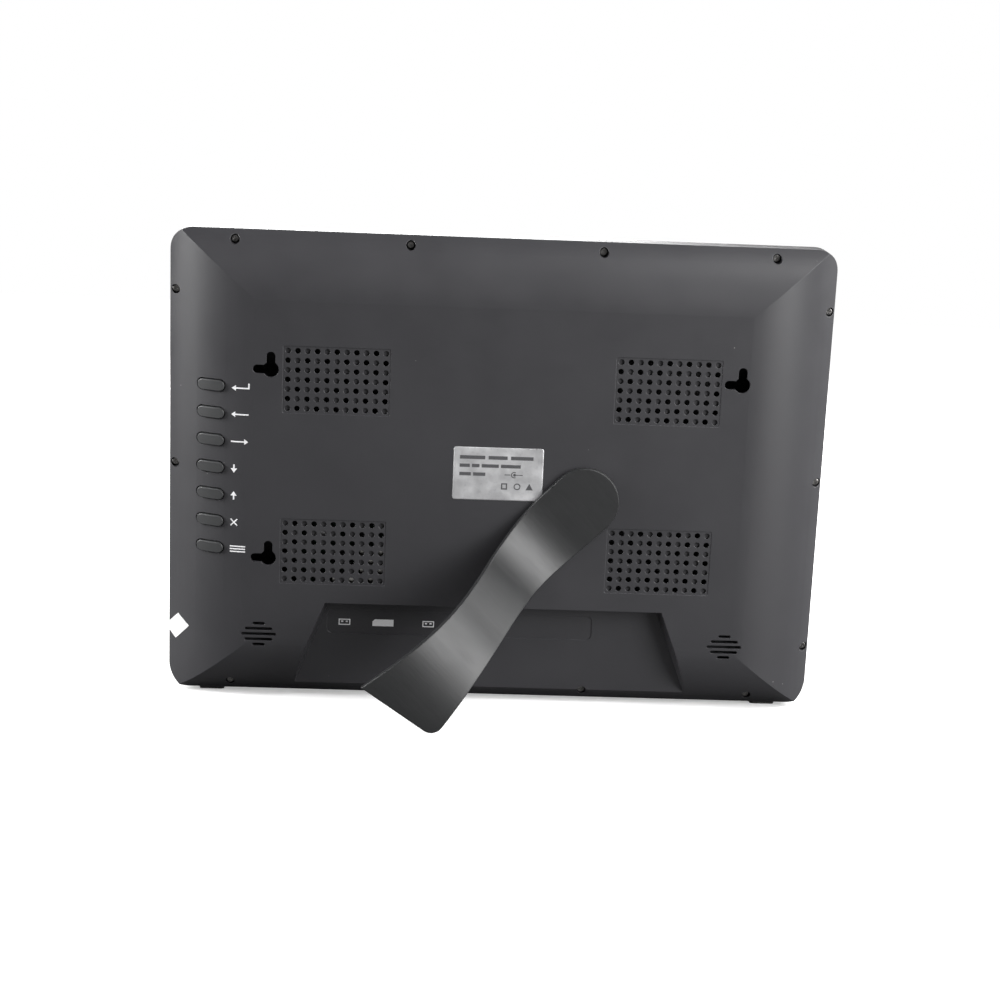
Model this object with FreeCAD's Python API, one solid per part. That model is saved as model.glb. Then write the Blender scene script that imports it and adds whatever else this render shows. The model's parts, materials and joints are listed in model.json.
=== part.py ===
import FreeCAD, Part
import math
import os

# Digital photo frame, 15.4 inch, on a diagonal swivelling leg.
# Modelled upright first: X across the display, Y from the display towards the back, Z up, with
# the origin at the middle of the case outline on the parting plane of bezel and rear cover.
# place() then leans the whole frame back onto its leg and sets it on the ground plane.

V = FreeCAD.Vector

# ---- driving dimensions, mm ----
CASE_W = 370.0
CASE_H = 264.5
BEZEL_DEPTH = 7.4        # parting plane to the front face
COVER_DEPTH = 27.6       # parting plane to the flat of the back
CORNER_R = 13.0
WALL = 2.2
END_WALL = 2.1             # in the shoulders along the top and the bottom
SIDE_RUN = 49.0          # width of the curved shoulders, left and right
SIDE_DROP = 26.0
END_RUN = 36.0           # and along the top and the bottom
END_DROP = 20.0
LEAN_DEG = 6.8
GAP = 0.3                # between bodies that move past each other
RUNNING_FIT = 0.05       # radial, shafts in their holes

# case screws and their counterbores
END_SCREW_X = (-148.7, -53.0, 53.0, 148.7)
END_SCREW_Z = (127.1, -125.5)
SIDE_SCREW_X = 181.5
SIDE_SCREW_Z = (97.5, -0.5, -98.5)
SCREW_R = 1.25
HEAD_R = 2.1
HEAD_H = 1.5
COUNTERBORE_R = 2.6
COUNTERBORE_DEPTH = 2.0  # below the lowest side of its mouth
POST_R = 4.4
BEZEL_POST_R = 3.2

# ventilation grids
VENT_X = 91.3
VENT_Z = (53.0, -44.4)
VENT_PITCH = 5.35
VENT_COLS = 11
VENT_ROWS = 7
VENT_R = 1.6
VENT_BLIND = 1.4
VENT_MARGIN = 2.7
VENT_PATCH_DEPTH = 0.3

# keyholes for hanging on a wall: (x, z)
KEYHOLES = ((127.3, 58.3), (127.3, -48.6), (-132.0, 58.3))
KEYHOLE_R = 4.4
KEYSLOT_W = 4.9
KEYSLOT_REACH = 9.8

# port recess, a trapezoid that opens at the bottom slope
RECESS_TOP_Z = -74.0
RECESS_HALF_TOP = 95.2
RECESS_SPLAY = 0.388     # outward run of each side per mm of height
RECESS_FLOOR_Y = 16.5
RECESS_DRAFT = 0.27      # slant of the side walls per mm of depth
PORT_Y = 21.0
USB_X = (84.1, 36.4)
SD_X = 62.2
EAR_X = 15.0
DC_X = -6.5
PANEL_X = (-57.0, 94.0)
PANEL_Z = (-95.0, -81.0)
PANEL_DEPTH = 0.4

# speakers and their grilles
SPEAKER_X = 132.0
SPEAKER_Z = -93.3
GRILLE_HALF = (3.5, 7.8, 9.85, 7.8, 3.5)
GRILLE_PITCH = 3.1
GRILLE_SLOT = 1.75
SPEAKER_R = 15.0
SPEAKER_SEAT_Y = 23.0
GASKET_T = 0.6
SPEAKER_Y = SPEAKER_SEAT_Y - GASKET_T   # front of the speaker's rim, behind its gasket
SPEAKER_EAR_Y = SPEAKER_Y - 2.4
SPEAKER_EAR_X = 18.5                    # its screws, each side of the middle
MAGNET_R = 9.5
MAGNET_BACK_Y = SPEAKER_Y - 11.2

# seven keys down one side
KEY_X = 160.2
KEY_TOP_Z = 47.8
KEY_PITCH = 15.33
KEY_NAMES = ("enter", "left", "right", "down", "up", "exit", "menu")
KEY_L = 15.3
KEY_W = 6.0
KEY_PROUD = 1.4
KEY_GAP = 0.5            # from a key to the edge of its hole in the cover
KEY_FLANGE_Y = 14.4      # lowest level of the flange that keeps a key in the case
KEY_FLANGE_EXTRA = 1.3
KEY_STEM_R = 1.5
SWITCH_TOP_Y = 11.4
SWITCH_H = 3.4
SWITCH_SIDE = 6.0
PLUNGER_R = 1.75
PLUNGER_PROUD = 1.2
BOARD_T = 1.6

# leg
PIVOT_X = -47.9
PIVOT_Z = -10.2
LEG_T = 3.6
LEG_FOOT_Y = 107.5       # outer face of the foot, from the parting plane
LEG_HALF = ((0.0, 19.3), (30.0, 18.3), (67.0, 15.2), (105.0, 18.2), (145.3, 24.1))
LEG_RISE_AT = 41.3       # distances along the leg of the two bends
LEG_LEVEL_AT = 100.3
LEG_BEND_R = (50.0, 80.0)
FOOT_LONG = 145.3        # the foot is cut at a slant, longer on its left corner
FOOT_SHORT = 136.2
FOOT_CORNER_R = 7.0
LEG_EDGE_R = 0.6
HUB_R = 6.0
HUB_BOSS_Y = 22.4
HUB_END_Y = 22.0
LEG_SCREW_R = 2.0
LEG_WASHER_R = 9.0
LEG_WASHER_T = 1.2

# display module
LCD_W = 344.0
LCD_H = 222.0
VIEW_W = 333.0
VIEW_H = 209.0
LCD_FRONT_Y = -5.2
SHEET_T = 0.5
LCD_BACK_Y = LCD_FRONT_Y + 6.1
LAMP_COUNT = 24

# main board
BOARD_X = (-22.0, 112.0)
BOARD_Z = (-71.2, 2.0)
BOARD_Y = 15.8

# on the main board: chips as (x, z, width, height, thickness), capacitors as (x, z)
CHIPS = ((50, -32, 17, 17, 1.6), (76, -30, 10, 18, 1.1), (88, -48, 12, 9, 1.1),
         (22, -34, 8, 8, 1.4), (98, -20, 6, 8, 1.5), (8, -46, 10, 10, 4.0))
CAPACITORS = ((-12, -40), (-12, -28), (24, -50), (98, -36))
CAPACITOR_R = 3.0
CAPACITOR_H = 6.4

# flat cables
RIBBON_T = 0.3
DISPLAY_RIBBON_X = (30, 58)
DISPLAY_RIBBON_Z = (-18, 50)
KEY_RIBBON_Z = (-8, 0)

# label, seal and feet
LABEL_W = 50.0
LABEL_H = 30.0
LABEL_X = 0.7
LABEL_Z = 3.75
PAPER_T = 0.1
SEAL_SIDES = (13.0, 8.8)
SEAL_X = 179.9
SEAL_Z = -95.8
SEAL_TURN = -50.0
FOOT_X = 160.0
FOOT_PAD = (14.0, 8.0, 1.5)

FLOOR_LEVEL = -(CASE_H / 2 + FOOT_PAD[2]) * math.cos(math.radians(LEAN_DEG)) \
    - (COVER_DEPTH - END_DROP) * math.sin(math.radians(LEAN_DEG))


# ---- small helpers ----
def box(x, y, z):
    """A block from three (low, high) pairs."""
    return Part.makeBox(x[1] - x[0], y[1] - y[0], z[1] - z[0], V(x[0], y[0], z[0]))


def rod(radius, y0, y1, x, z):
    """A cylinder along Y."""
    return Part.makeCylinder(radius, y1 - y0, V(x, y0, z), V(0, 1, 0))


def ring(r_out, r_in, y0, y1, x, z):
    return rod(r_out, y0, y1, x, z).cut(rod(r_in, y0 - 1, y1 + 1, x, z))


def fuse(shapes):
    return shapes[0].multiFuse(shapes[1:]).removeSplitter() if len(shapes) > 1 else shapes[0]


def cut(shape, tools):
    return shape.cut(Part.makeCompound(tools))


def face_of(edges):
    return Part.Face(Part.Wire(edges))


def line(a, b):
    return Part.LineSegment(a, b).toShape()


def arc(a, middle, b):
    return Part.Arc(a, middle, b).toShape()


def rounded_face(half_x, half_z, r, y, x=0.0, z=0.0):
    """A rectangle in the XZ plane at height y with round corners."""
    k = r * (1 - math.sqrt(0.5))
    corners = ((1, 1), (-1, 1), (-1, -1), (1, -1))
    edges = []
    ends = []
    for sx, sz in corners:
        on_z = V(x + sx * (half_x - r), y, z + sz * half_z)
        on_x = V(x + sx * half_x, y, z + sz * (half_z - r))
        middle = V(x + sx * (half_x - k), y, z + sz * (half_z - k))
        first, last = (on_x, on_z) if sx * sz > 0 else (on_z, on_x)
        ends.append((first, middle, last))
    for i, (first, middle, last) in enumerate(ends):
        edges.append(arc(first, middle, last))
        following = ends[(i + 1) % 4][0]
        if (following - last).Length > 1e-6:
            edges.append(line(last, following))
    return face_of(edges)


def rounded_block(half_x, half_z, r, y0, y1, x=0.0, z=0.0):
    return rounded_face(half_x, half_z, r, y0, x, z).extrude(V(0, y1 - y0, 0))


def pill(length, width, y0, y1, x, z):
    """A bar along X with round ends."""
    r = width / 2
    a = length / 2 - r
    edges = [line(V(x - a, y0, z - r), V(x + a, y0, z - r)),
             arc(V(x + a, y0, z - r), V(x + a + r, y0, z), V(x + a, y0, z + r)),
             line(V(x + a, y0, z + r), V(x - a, y0, z + r)),
             arc(V(x - a, y0, z + r), V(x - a - r, y0, z), V(x - a, y0, z - r))]
    return face_of(edges).extrude(V(0, y1 - y0, 0))


# ---- case ----
def shoulder_radius(run, drop):
    return (run * run + drop * drop) / (2 * drop)


def shoulder_arc(half, run, drop, inset):
    """One shoulder's arc in section, as (across, y): where the flat back ends, its middle, the edge."""
    centre_a = half - run
    centre_y = COVER_DEPTH - shoulder_radius(run, drop)
    r = shoulder_radius(run, drop) - inset
    turn = math.asin((run - inset) / r)

    def at(angle):
        return centre_a + r * math.sin(angle), centre_y + r * math.cos(angle)

    return at(0), at(turn / 2), at(turn)


def shoulder_solid(half, run, drop, inset, bottom, length, across_x):
    """A bar with a shoulder on both sides: across X and long in Z, or across Z and long in X."""
    (centre_a, top), middle, (edge_a, edge_y) = shoulder_arc(half, run, drop, inset)

    def point(a, y):
        return V(a, y, -length / 2) if across_x else V(-length / 2, y, a)

    edges = [line(point(-edge_a, bottom), point(-edge_a, edge_y)),
             arc(point(-edge_a, edge_y), point(-middle[0], middle[1]), point(-centre_a, top)),
             line(point(-centre_a, top), point(centre_a, top)),
             arc(point(centre_a, top), point(middle[0], middle[1]), point(edge_a, edge_y)),
             line(point(edge_a, edge_y), point(edge_a, bottom)),
             line(point(edge_a, bottom), point(-edge_a, bottom))]
    return face_of(edges).extrude(V(0, 0, length) if across_x else V(length, 0, 0))


def cover_body(inset, bottom=0.0):
    """The solid inside the cover's outer face, drawn in by inset (or out, if negative)."""
    sides = shoulder_solid(CASE_W / 2, SIDE_RUN, SIDE_DROP, inset, bottom, CASE_H + 40, True)
    end_inset = inset * END_WALL / WALL
    ends = shoulder_solid(CASE_H / 2, END_RUN, END_DROP, end_inset, bottom, CASE_W + 40, False)
    prism = rounded_block(CASE_W / 2 - inset, CASE_H / 2 - inset, CORNER_R - inset, bottom, COVER_DEPTH + 10)
    return prism.common(ends).common(sides)


def surface_y(x, z):
    """Height of the cover's outer face over a point."""
    heights = []
    for offset, half, run, drop in ((abs(x), CASE_W / 2, SIDE_RUN, SIDE_DROP),
                                    (abs(z), CASE_H / 2, END_RUN, END_DROP)):
        radius = shoulder_radius(run, drop)
        past = max(0.0, offset - (half - run))
        heights.append(COVER_DEPTH - radius + math.sqrt(radius * radius - past * past))
    return min(heights)


def screw_places():
    places = [(x, z) for z in END_SCREW_Z for x in END_SCREW_X]
    places += [(x, z) for x in (SIDE_SCREW_X, -SIDE_SCREW_X) for z in SIDE_SCREW_Z]
    return places


def seat_y(x, z):
    """Level of the counterbore's floor, where a case screw's head sits."""
    outward_x = abs(x) + COUNTERBORE_R * (abs(x) == SIDE_SCREW_X)
    outward_z = abs(z) + COUNTERBORE_R * (z in END_SCREW_Z)
    return max(surface_y(outward_x, outward_z) - COUNTERBORE_DEPTH, 1.6)


def recess_trapezoid(y, grow):
    """Recess outline at one depth; grow pushes top and sides outwards."""
    lean_in = RECESS_DRAFT * (COVER_DEPTH - y)
    top = RECESS_TOP_Z + grow
    bottom = -CASE_H / 2 - 8
    half_top = RECESS_HALF_TOP + grow - lean_in - RECESS_SPLAY * grow
    half_bottom = half_top + RECESS_SPLAY * (top - bottom)
    corners = [V(-half_top, y, top), V(half_top, y, top),
               V(half_bottom, y, bottom), V(-half_bottom, y, bottom)]
    return Part.makePolygon(corners + corners[:1])


def recess_solid(floor_y, grow):
    outlines = [recess_trapezoid(floor_y, grow), recess_trapezoid(COVER_DEPTH + 4, grow)]
    return Part.makeLoft(outlines, True, True)


def vent_cutters():
    tools = []
    half_x = (VENT_COLS - 1) / 2 * VENT_PITCH
    half_z = (VENT_ROWS - 1) / 2 * VENT_PITCH
    bed = COVER_DEPTH - VENT_PATCH_DEPTH
    for cx in (VENT_X, -VENT_X):
        for cz in VENT_Z:
            tools.append(rounded_block(half_x + VENT_MARGIN, half_z + VENT_MARGIN, 1.0,
                                       bed, COVER_DEPTH + 1, cx, cz))
            for col in range(VENT_COLS):
                for row in range(VENT_ROWS):
                    blind = (col + row) % 2 == 0
                    depth = VENT_BLIND if blind else WALL + 1
                    tools.append(rod(VENT_R, bed - depth, bed + 0.1,
                                     cx + half_x - col * VENT_PITCH, cz + half_z - row * VENT_PITCH))
    return tools


def keyhole_cutters():
    tools = []
    half = KEYSLOT_W / 2
    for x, z in KEYHOLES:
        y0, y1 = COVER_DEPTH - WALL - 1, COVER_DEPTH + 1
        reach = KEYSLOT_REACH - half
        upright = box((x - half, x + half), (y0, y1), (z, z + reach))
        sideways = box((x, x + reach), (y0, y1), (z - half, z + half))
        tools.append(fuse([rod(KEYHOLE_R, y0, y1, x, z), upright, rod(half, y0, y1, x, z + reach),
                           sideways, rod(half, y0, y1, x + reach, z)]))
    return tools


def grille_cutters():
    tools = []
    for sx in (1, -1):
        for i, half in enumerate(GRILLE_HALF):
            z = SPEAKER_Z + (2 - i) * GRILLE_PITCH
            tools.append(pill(2 * half, GRILLE_SLOT, COVER_DEPTH - WALL - 1, COVER_DEPTH + 1,
                              sx * SPEAKER_X, z))
    return tools


def port_cutters():
    """Holes through the ledge at the top of the recess."""
    through = (RECESS_TOP_Z - 1, RECESS_TOP_Z + WALL + 1)
    tools = [box((x - 6.5, x + 6.5), (PORT_Y - 2.8, PORT_Y + 2.8), through) for x in USB_X]
    tools.append(box((SD_X - 12.6, SD_X + 12.6), (PORT_Y - 1.6, PORT_Y + 1.6), through))
    tools += [upright_rod(r, *through, x) for x, r in ((EAR_X, 3.1), (DC_X, 4.1))]
    return tools


def key_places():
    return [(name, KEY_TOP_Z - i * KEY_PITCH) for i, name in enumerate(KEY_NAMES)]


def post(x, z, radius, y0, hole_r, hole_depth):
    """A boss from the cover's inner face to y0, and the cutter of its blind screw hole."""
    return rod(radius, y0, COVER_DEPTH, x, z), rod(hole_r, y0 - 0.1, y0 + hole_depth, x, z)


def board_post_places():
    return [(x, z) for x in (BOARD_X[0] + 5, BOARD_X[1] - 5) for z in (BOARD_Z[0] + 3.9, BOARD_Z[1] - 5)]


def key_board_post_places():
    return [(KEY_X, KEY_TOP_Z + 12.0), (KEY_X, KEY_TOP_Z - 6 * KEY_PITCH - 12.0)]


def speaker_post_places():
    return [(sx * SPEAKER_X + dx, SPEAKER_Z) for sx in (1, -1) for dx in (-SPEAKER_EAR_X, SPEAKER_EAR_X)]


def rear_cover():
    outer = cover_body(0.0)
    shell = outer.cut(cover_body(WALL, -1.0))
    liner = recess_solid(RECESS_FLOOR_Y - WALL, WALL).common(outer)
    added = [shell, liner]
    holes = []
    for x, z in screw_places():
        added.append(rod(POST_R, 0.0, COVER_DEPTH, x, z).common(outer))
        seat = seat_y(x, z)
        holes.append(rod(COUNTERBORE_R, seat, COVER_DEPTH + 1, x, z))
        holes.append(rod(SCREW_R + RUNNING_FIT, -1, seat + 0.1, x, z))
    for places, radius, base, hole_r, depth in (
            (board_post_places(), 3.0, BOARD_Y + BOARD_T, 1.0, 5.0),
            (key_board_post_places(), 2.8, SWITCH_TOP_Y - SWITCH_H, 0.9, 5.0),
            (speaker_post_places(), 2.4, SPEAKER_EAR_Y, 0.9, 3.2)):
        for x, z in places:
            solid, hole = post(x, z, radius, base, hole_r, depth)
            added.append(solid.common(outer))
            holes.append(hole)
    for x in (SPEAKER_X, -SPEAKER_X):
        seat = ring(SPEAKER_R + 0.5, SPEAKER_R - 2.6, SPEAKER_SEAT_Y, COVER_DEPTH, x, SPEAKER_Z)
        added.append(seat.common(outer))
    added.append(rod(HUB_R + 3.5, HUB_BOSS_Y, COVER_DEPTH, PIVOT_X, PIVOT_Z).common(outer))
    holes.append(rod(HUB_R + RUNNING_FIT, HUB_BOSS_Y - 1, COVER_DEPTH + 1, PIVOT_X, PIVOT_Z))
    body = fuse(added)
    panel = rounded_block((PANEL_X[1] - PANEL_X[0]) / 2, (PANEL_Z[1] - PANEL_Z[0]) / 2, 3.0,
                          RECESS_FLOOR_Y - PANEL_DEPTH, RECESS_FLOOR_Y + 1,
                          sum(PANEL_X) / 2, sum(PANEL_Z) / 2)
    body = body.cut(recess_solid(RECESS_FLOOR_Y, 0.0)).cut(panel)
    holes += vent_cutters() + keyhole_cutters() + grille_cutters() + port_cutters()
    for _, z in key_places():
        holes.append(pill(KEY_L + 2 * KEY_GAP, KEY_W + 2 * KEY_GAP, 0, COVER_DEPTH + 1, KEY_X, z))
    return cut(body, holes)


def front_bezel():
    outline = rounded_block(CASE_W / 2, CASE_H / 2, CORNER_R, -BEZEL_DEPTH, 0)
    front_edges = [e for e in outline.Edges
                   if all(abs(v.Point.y + BEZEL_DEPTH) < 1e-6 for v in e.Vertexes)]
    outline = outline.makeFillet(2.2, front_edges)
    cavity = rounded_block(CASE_W / 2 - WALL, CASE_H / 2 - WALL, CORNER_R - WALL, LCD_FRONT_Y, 1)
    window = box((-VIEW_W / 2, VIEW_W / 2), (-BEZEL_DEPTH - 1, 0), (-VIEW_H / 2, VIEW_H / 2))
    shell = outline.cut(cavity).cut(window)
    posts = [rod(BEZEL_POST_R, LCD_FRONT_Y, 0, x, z).common(outline) for x, z in screw_places()]
    holes = [rod(SCREW_R + RUNNING_FIT, LCD_FRONT_Y + 0.4, 1, x, z) for x, z in screw_places()]
    return cut(fuse([shell] + posts + bracket_posts()), holes)


def cross_recess(x, y, z, size):
    """Cutter of a cross slot 0.7 deep, its arms reaching size each way."""
    half = 0.28
    arms = [box((x - size, x + size), (y - 0.7, y + 1), (z - half, z + half)),
            box((x - half, x + half), (y - 0.7, y + 1), (z - size, z + size))]
    return fuse(arms)


def case_screws():
    screws = []
    for x, z in screw_places():
        seat = seat_y(x, z)
        head = rod(HEAD_R, seat, seat + HEAD_H, x, z)
        head = head.makeFillet(0.55, [e for e in head.Edges if e.BoundBox.YMin > seat + HEAD_H - 0.01])
        shank = rod(SCREW_R, LCD_FRONT_Y + 0.8, seat, x, z)
        screws.append(fuse([head, shank]).cut(cross_recess(x, seat + HEAD_H, z, 1.15)))
    return Part.makeCompound(screws)


def small_screw(x, z, under_head_y, length, r, head_r):
    """A screw driven from the display side, its head below under_head_y."""
    head = rod(head_r, under_head_y - 1.0, under_head_y, x, z)
    return fuse([head, rod(r, under_head_y, under_head_y + length, x, z)])


# ---- display module ----
def lcd_layer(half_w, half_h, y0, y1):
    return box((-half_w, half_w), (y0, y1), (-half_h, half_h))


def lcd_metal_frame():
    front = LCD_FRONT_Y
    outer = lcd_layer(LCD_W / 2, LCD_H / 2, front, front + 6.0)
    inner = lcd_layer(LCD_W / 2 - SHEET_T, LCD_H / 2 - SHEET_T, front + SHEET_T, front + 7)
    window = lcd_layer(VIEW_W / 2, VIEW_H / 2, front - 1, front + 1)
    return outer.cut(inner).cut(window)


def lcd_stack():
    """The display's layers, front to back, and the plate that closes it."""
    inset = 2.0
    lamp_room = 5.0
    made = {}
    y = LCD_FRONT_Y + SHEET_T
    for node, thickness in (("lcd_cell", 1.4), ("diffuser_films", 0.6),
                            ("light_guide", 2.5), ("reflector_sheet", 0.3)):
        bottom_gap = lamp_room if node == "light_guide" else inset
        made[node] = box((-LCD_W / 2 + inset, LCD_W / 2 - inset), (y, y + thickness),
                         (-LCD_H / 2 + bottom_gap, LCD_H / 2 - inset))
        if node == "light_guide":
            made["led_strip"] = led_strip(y, thickness)
        y += thickness
    tray = box((-LCD_W / 2 + 1, LCD_W / 2 - 1), (y, y + 0.8), (-LCD_H / 2 + 1, LCD_H / 2 - 1))
    stiffener = box((-LCD_W / 2 + 30, LCD_W / 2 - 30), (y + 0.8, y + 2.0), (60, 72))
    made["lcd_back_plate"] = fuse([tray, stiffener])
    return made


def led_strip(y, thickness):
    """A strip under the light guide's lower edge, its lamps shining up into it."""
    bottom = -LCD_H / 2
    board = box((-LCD_W / 2 + 3, LCD_W / 2 - 3), (y, y + thickness), (bottom + 1.8, bottom + 2.8))
    first = -LCD_W / 2 + 10
    pitch = -2 * first / (LAMP_COUNT - 1)
    lamps = []
    for i in range(LAMP_COUNT):
        x = first + i * pitch
        lamps.append(box((x - 1.8, x + 1.8), (y + 0.4, y + thickness - 0.4), (bottom + 2.8, bottom + 4.4)))
    return fuse([board] + lamps)


def bracket_screw_places():
    return [(sx * (LCD_W / 2 + 3.0), z) for sx in (1, -1) for z in (70.0, -70.0)]


def lcd_brackets():
    """Two steel angles that clamp the display's ends to the bezel."""
    made = []
    for sx in (1, -1):
        xs = sorted((sx * (LCD_W / 2 - 14), sx * (LCD_W / 2 + 5.0)))
        plate = box(xs, (LCD_BACK_Y, LCD_BACK_Y + 0.8), (-85, 85))
        foot_x = sorted((sx * (LCD_W / 2 + 0.2), sx * (LCD_W / 2 + 1.0)))
        foot = box(foot_x, (LCD_FRONT_Y, LCD_BACK_Y), (-85, 85))
        holes = [rod(1.1, LCD_BACK_Y - 1, LCD_BACK_Y + 2, x, z)
                 for x, z in bracket_screw_places() if x * sx > 0]
        made.append(cut(fuse([plate, foot]), holes))
    return Part.makeCompound(made)


def bracket_posts():
    """Posts on the bezel that the bracket screws bite into."""
    posts = []
    for x, z in bracket_screw_places():
        solid = rod(1.9, LCD_FRONT_Y, LCD_BACK_Y, x, z)
        posts.append(solid.cut(rod(0.9, LCD_FRONT_Y + 0.6, LCD_BACK_Y + 1, x, z)))
    return posts


def bracket_screws():
    made = []
    for x, z in bracket_screw_places():
        head = rod(1.8, LCD_BACK_Y + 0.8, LCD_BACK_Y + 1.8, x, z)
        shank = rod(0.85, LCD_BACK_Y - 3.6, LCD_BACK_Y + 0.8, x, z)
        made.append(fuse([head, shank]))
    return Part.makeCompound(made)


# ---- electronics ----
def main_board():
    board = box(BOARD_X, (BOARD_Y, BOARD_Y + BOARD_T), BOARD_Z)
    holes = [rod(1.2, BOARD_Y - 1, BOARD_Y + 3, x, z) for x, z in board_post_places()]
    return cut(board, holes)


def board_screws():
    made = [small_screw(x, z, BOARD_Y, 4.6, 0.95, 2.0) for x, z in board_post_places()]
    return Part.makeCompound(made)


def board_chips():
    """Processor, memory, flash and power parts on the board's back."""
    top = BOARD_Y + BOARD_T
    return Part.makeCompound([box((x - w / 2, x + w / 2), (top, top + t), (z - h / 2, z + h / 2))
                              for x, z, w, h, t in CHIPS])


def board_capacitors():
    top = BOARD_Y + BOARD_T
    return Part.makeCompound([rod(CAPACITOR_R, top, top + CAPACITOR_H, x, z) for x, z in CAPACITORS])


SOCKET_Z = RECESS_TOP_Z + WALL


def usb_socket(x):
    """Folded steel shell, open at its lower end, round a plastic tongue."""
    z0, z1 = SOCKET_Z, SOCKET_Z + 14.0
    y0, y1 = BOARD_Y + BOARD_T, PORT_Y + 3.2
    outer = box((x - 7.0, x + 7.0), (y0, y1), (z0, z1))
    mouth = box((x - 6.25, x + 6.25), (PORT_Y - 2.55, PORT_Y + 2.55), (z0 - 1, z1 - 1.0))
    tongue = box((x - 5.5, x + 5.5), (PORT_Y + 0.5, PORT_Y + 2.3), (z0 + 1.2, z1 - 0.8))
    return fuse([outer.cut(mouth), tongue])


def usb_sockets():
    return Part.makeCompound([usb_socket(x) for x in USB_X])


def sd_card_socket():
    z0, z1 = SOCKET_Z, SOCKET_Z + 28.0
    y0 = BOARD_Y + BOARD_T
    outer = box((SD_X - 13.8, SD_X + 13.8), (y0, PORT_Y + 1.9), (z0, z1))
    slot = box((SD_X - 12.3, SD_X + 12.3), (PORT_Y - 1.3, PORT_Y + 1.3), (z0 - 1, z1 - 2.0))
    return outer.cut(slot)


def upright_rod(radius, z0, z1, x):
    """A cylinder along Z on the row of ports."""
    return Part.makeCylinder(radius, z1 - z0, V(x, PORT_Y, z0), V(0, 0, 1))


def jack_body(x, half_w, length, nose_r, bore_r, bore_length):
    """A block on the board, with a round nose that fills its hole in the recess's ledge."""
    body = box((x - half_w, x + half_w), (BOARD_Y + BOARD_T, PORT_Y + 3.4), (SOCKET_Z, SOCKET_Z + length))
    nose = upright_rod(nose_r, RECESS_TOP_Z, SOCKET_Z, x)
    bore = upright_rod(bore_r, RECESS_TOP_Z - 1, RECESS_TOP_Z + bore_length, x)
    return fuse([body, nose]).cut(bore)


def earphone_jack():
    return jack_body(EAR_X, 3.4, 12.0, 3.0, 1.8, 13.0)


def dc_jack():
    body = jack_body(DC_X, 4.6, 13.0, 4.0, 2.75, 11.0)
    return fuse([body, upright_rod(1.0, RECESS_TOP_Z + 1.2, RECESS_TOP_Z + 11.2, DC_X)])


def key_board():
    y1 = SWITCH_TOP_Y - SWITCH_H
    ends = [z for _, z in key_board_post_places()]
    board = box((KEY_X - 8, KEY_X + 8), (y1 - BOARD_T, y1), (min(ends) - 4, max(ends) + 4))
    holes = [rod(1.1, y1 - 3, y1 + 1, x, z) for x, z in key_board_post_places()]
    return cut(board, holes)


def key_board_screws():
    y = SWITCH_TOP_Y - SWITCH_H - BOARD_T
    return Part.makeCompound([small_screw(x, z, y, 4.4, 0.85, 1.8) for x, z in key_board_post_places()])


def tact_switches():
    half = SWITCH_SIDE / 2
    top = SWITCH_TOP_Y
    made = []
    for _, z in key_places():
        body = box((KEY_X - half, KEY_X + half), (top - SWITCH_H, top), (z - half, z + half))
        made.append(body.cut(rod(PLUNGER_R + 2 * RUNNING_FIT, top - 1.8, top + 1, KEY_X, z)))
    return Part.makeCompound(made)


def switch_plunger(z):
    return rod(PLUNGER_R, SWITCH_TOP_Y - 0.8, SWITCH_TOP_Y + PLUNGER_PROUD, KEY_X, z)


def key_button(z):
    """A pill-shaped cap with a flange behind the cover and a stem onto its switch."""
    cap = pill(KEY_L, KEY_W, KEY_FLANGE_Y, COVER_DEPTH + 4, KEY_X, z).common(cover_body(-KEY_PROUD))
    top_edges = [e for e in cap.Edges if e.BoundBox.YMin > KEY_FLANGE_Y + 1 and e.Length > 4]
    cap = cap.makeFillet(0.5, top_edges)
    flange = pill(KEY_L + 2 * KEY_FLANGE_EXTRA, KEY_W + 2 * KEY_FLANGE_EXTRA,
                  KEY_FLANGE_Y, KEY_FLANGE_Y + 4.5, KEY_X, z)
    flange = flange.common(cover_body(WALL + GAP))
    stem = rod(KEY_STEM_R, SWITCH_TOP_Y + PLUNGER_PROUD, KEY_FLANGE_Y, KEY_X, z)
    return fuse([cap, flange, stem])


# ---- speakers ----
EAR_T = 0.8


def flared(r0, r1, y0, y1, x):
    """A cone on a speaker's axis, from radius r0 at y0 to r1 at y1."""
    return Part.makeCone(r0, r1, y1 - y0, V(x, y0, SPEAKER_Z), V(0, 1, 0))


def speaker_gasket(x):
    return ring(SPEAKER_R, SPEAKER_R - 2.4, SPEAKER_Y, SPEAKER_SEAT_Y, x, SPEAKER_Z)


def speaker_frame(x):
    """Pressed basket: a rim with two ears over a tapering bowl that holds the magnet."""
    rim = rod(SPEAKER_R, SPEAKER_Y - 1.2, SPEAKER_Y, x, SPEAKER_Z)
    ears = box((x - 21, x + 21), (SPEAKER_EAR_Y - EAR_T, SPEAKER_EAR_Y),
               (SPEAKER_Z - 3.5, SPEAKER_Z + 3.5))
    bowl = flared(8.5, SPEAKER_R - 1, SPEAKER_Y - 6.2, SPEAKER_Y - 1.2, x)
    hollow = flared(7.7, SPEAKER_R - 1.8, SPEAKER_Y - 5.4, SPEAKER_Y - 0.2, x)
    mouth = rod(SPEAKER_R - 1.8, SPEAKER_Y - 1.2, SPEAKER_Y + 1, x, SPEAKER_Z)
    screw_holes = [rod(0.95, SPEAKER_Y - 4, SPEAKER_Y, x + dx, SPEAKER_Z)
                   for dx in (-SPEAKER_EAR_X, SPEAKER_EAR_X)]
    return cut(fuse([rim, ears, bowl]).cut(hollow).cut(mouth), screw_holes)


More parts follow.
